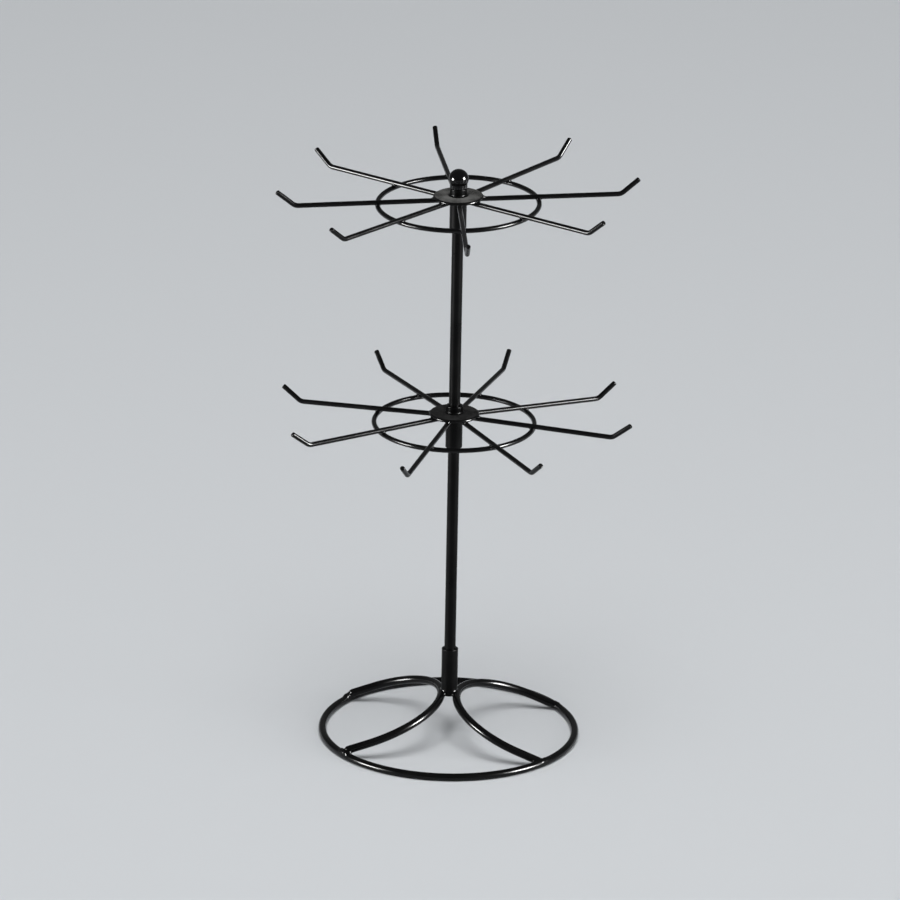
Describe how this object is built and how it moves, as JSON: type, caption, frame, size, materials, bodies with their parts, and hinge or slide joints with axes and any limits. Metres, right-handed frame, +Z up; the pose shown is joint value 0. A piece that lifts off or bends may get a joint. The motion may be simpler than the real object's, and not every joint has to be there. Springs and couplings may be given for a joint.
{
  "type": "rotating jewelry stand",
  "caption": "Black wire jewelry stand: a ring base with two bent legs, a pole with a ball on top, and two hook tiers that each turn on the pole.",
  "frame": {"origin": "centre of the base ring, on the table", "axes": "+Z up along the pole, -Y towards the front that the picture shows"},
  "size_m": [0.2032, 0.2034, 0.3411],
  "materials": {
    "wire_paint": "gloss",
    "tube_paint": "gloss",
    "plate_paint": "gloss",
    "ball_gloss": "gloss"
  },
  "bodies": {
    "stand": {"base_ring": "wire_paint", "base_leg_left": "wire_paint", "base_leg_right": "wire_paint", "base_socket": "tube_paint", "pole": "tube_paint", "finial": "ball_gloss", "lower_stop_collar": "tube_paint", "upper_stop_collar": "tube_paint"},
    "lower_tier": {"lower_hub_plate": "plate_paint", "lower_hub_sleeve": "tube_paint", "lower_support_ring": "wire_paint", "lower_arm_1": "wire_paint", "lower_arm_2": "wire_paint", "lower_arm_3": "wire_paint", "lower_arm_4": "wire_paint", "lower_arm_5": "wire_paint", "lower_arm_6": "wire_paint", "lower_arm_7": "wire_paint", "lower_arm_8": "wire_paint"},
    "upper_tier": {"upper_hub_plate": "plate_paint", "upper_hub_sleeve": "tube_paint", "upper_support_ring": "wire_paint", "upper_arm_1": "wire_paint", "upper_arm_2": "wire_paint", "upper_arm_3": "wire_paint", "upper_arm_4": "wire_paint", "upper_arm_5": "wire_paint", "upper_arm_6": "wire_paint", "upper_arm_7": "wire_paint", "upper_arm_8": "wire_paint"}
  },
  "joints": [
    {"name": "lower_tier_spin", "type": "hinge", "parent": "stand", "child": "lower_tier", "pos_m": [0, 0, 0.1938], "axis": [0, 0, 1], "continuous": true},
    {"name": "upper_tier_spin", "type": "hinge", "parent": "stand", "child": "upper_tier", "pos_m": [0, 0, 0.3232], "axis": [0, 0, 1], "continuous": true}
  ]
}
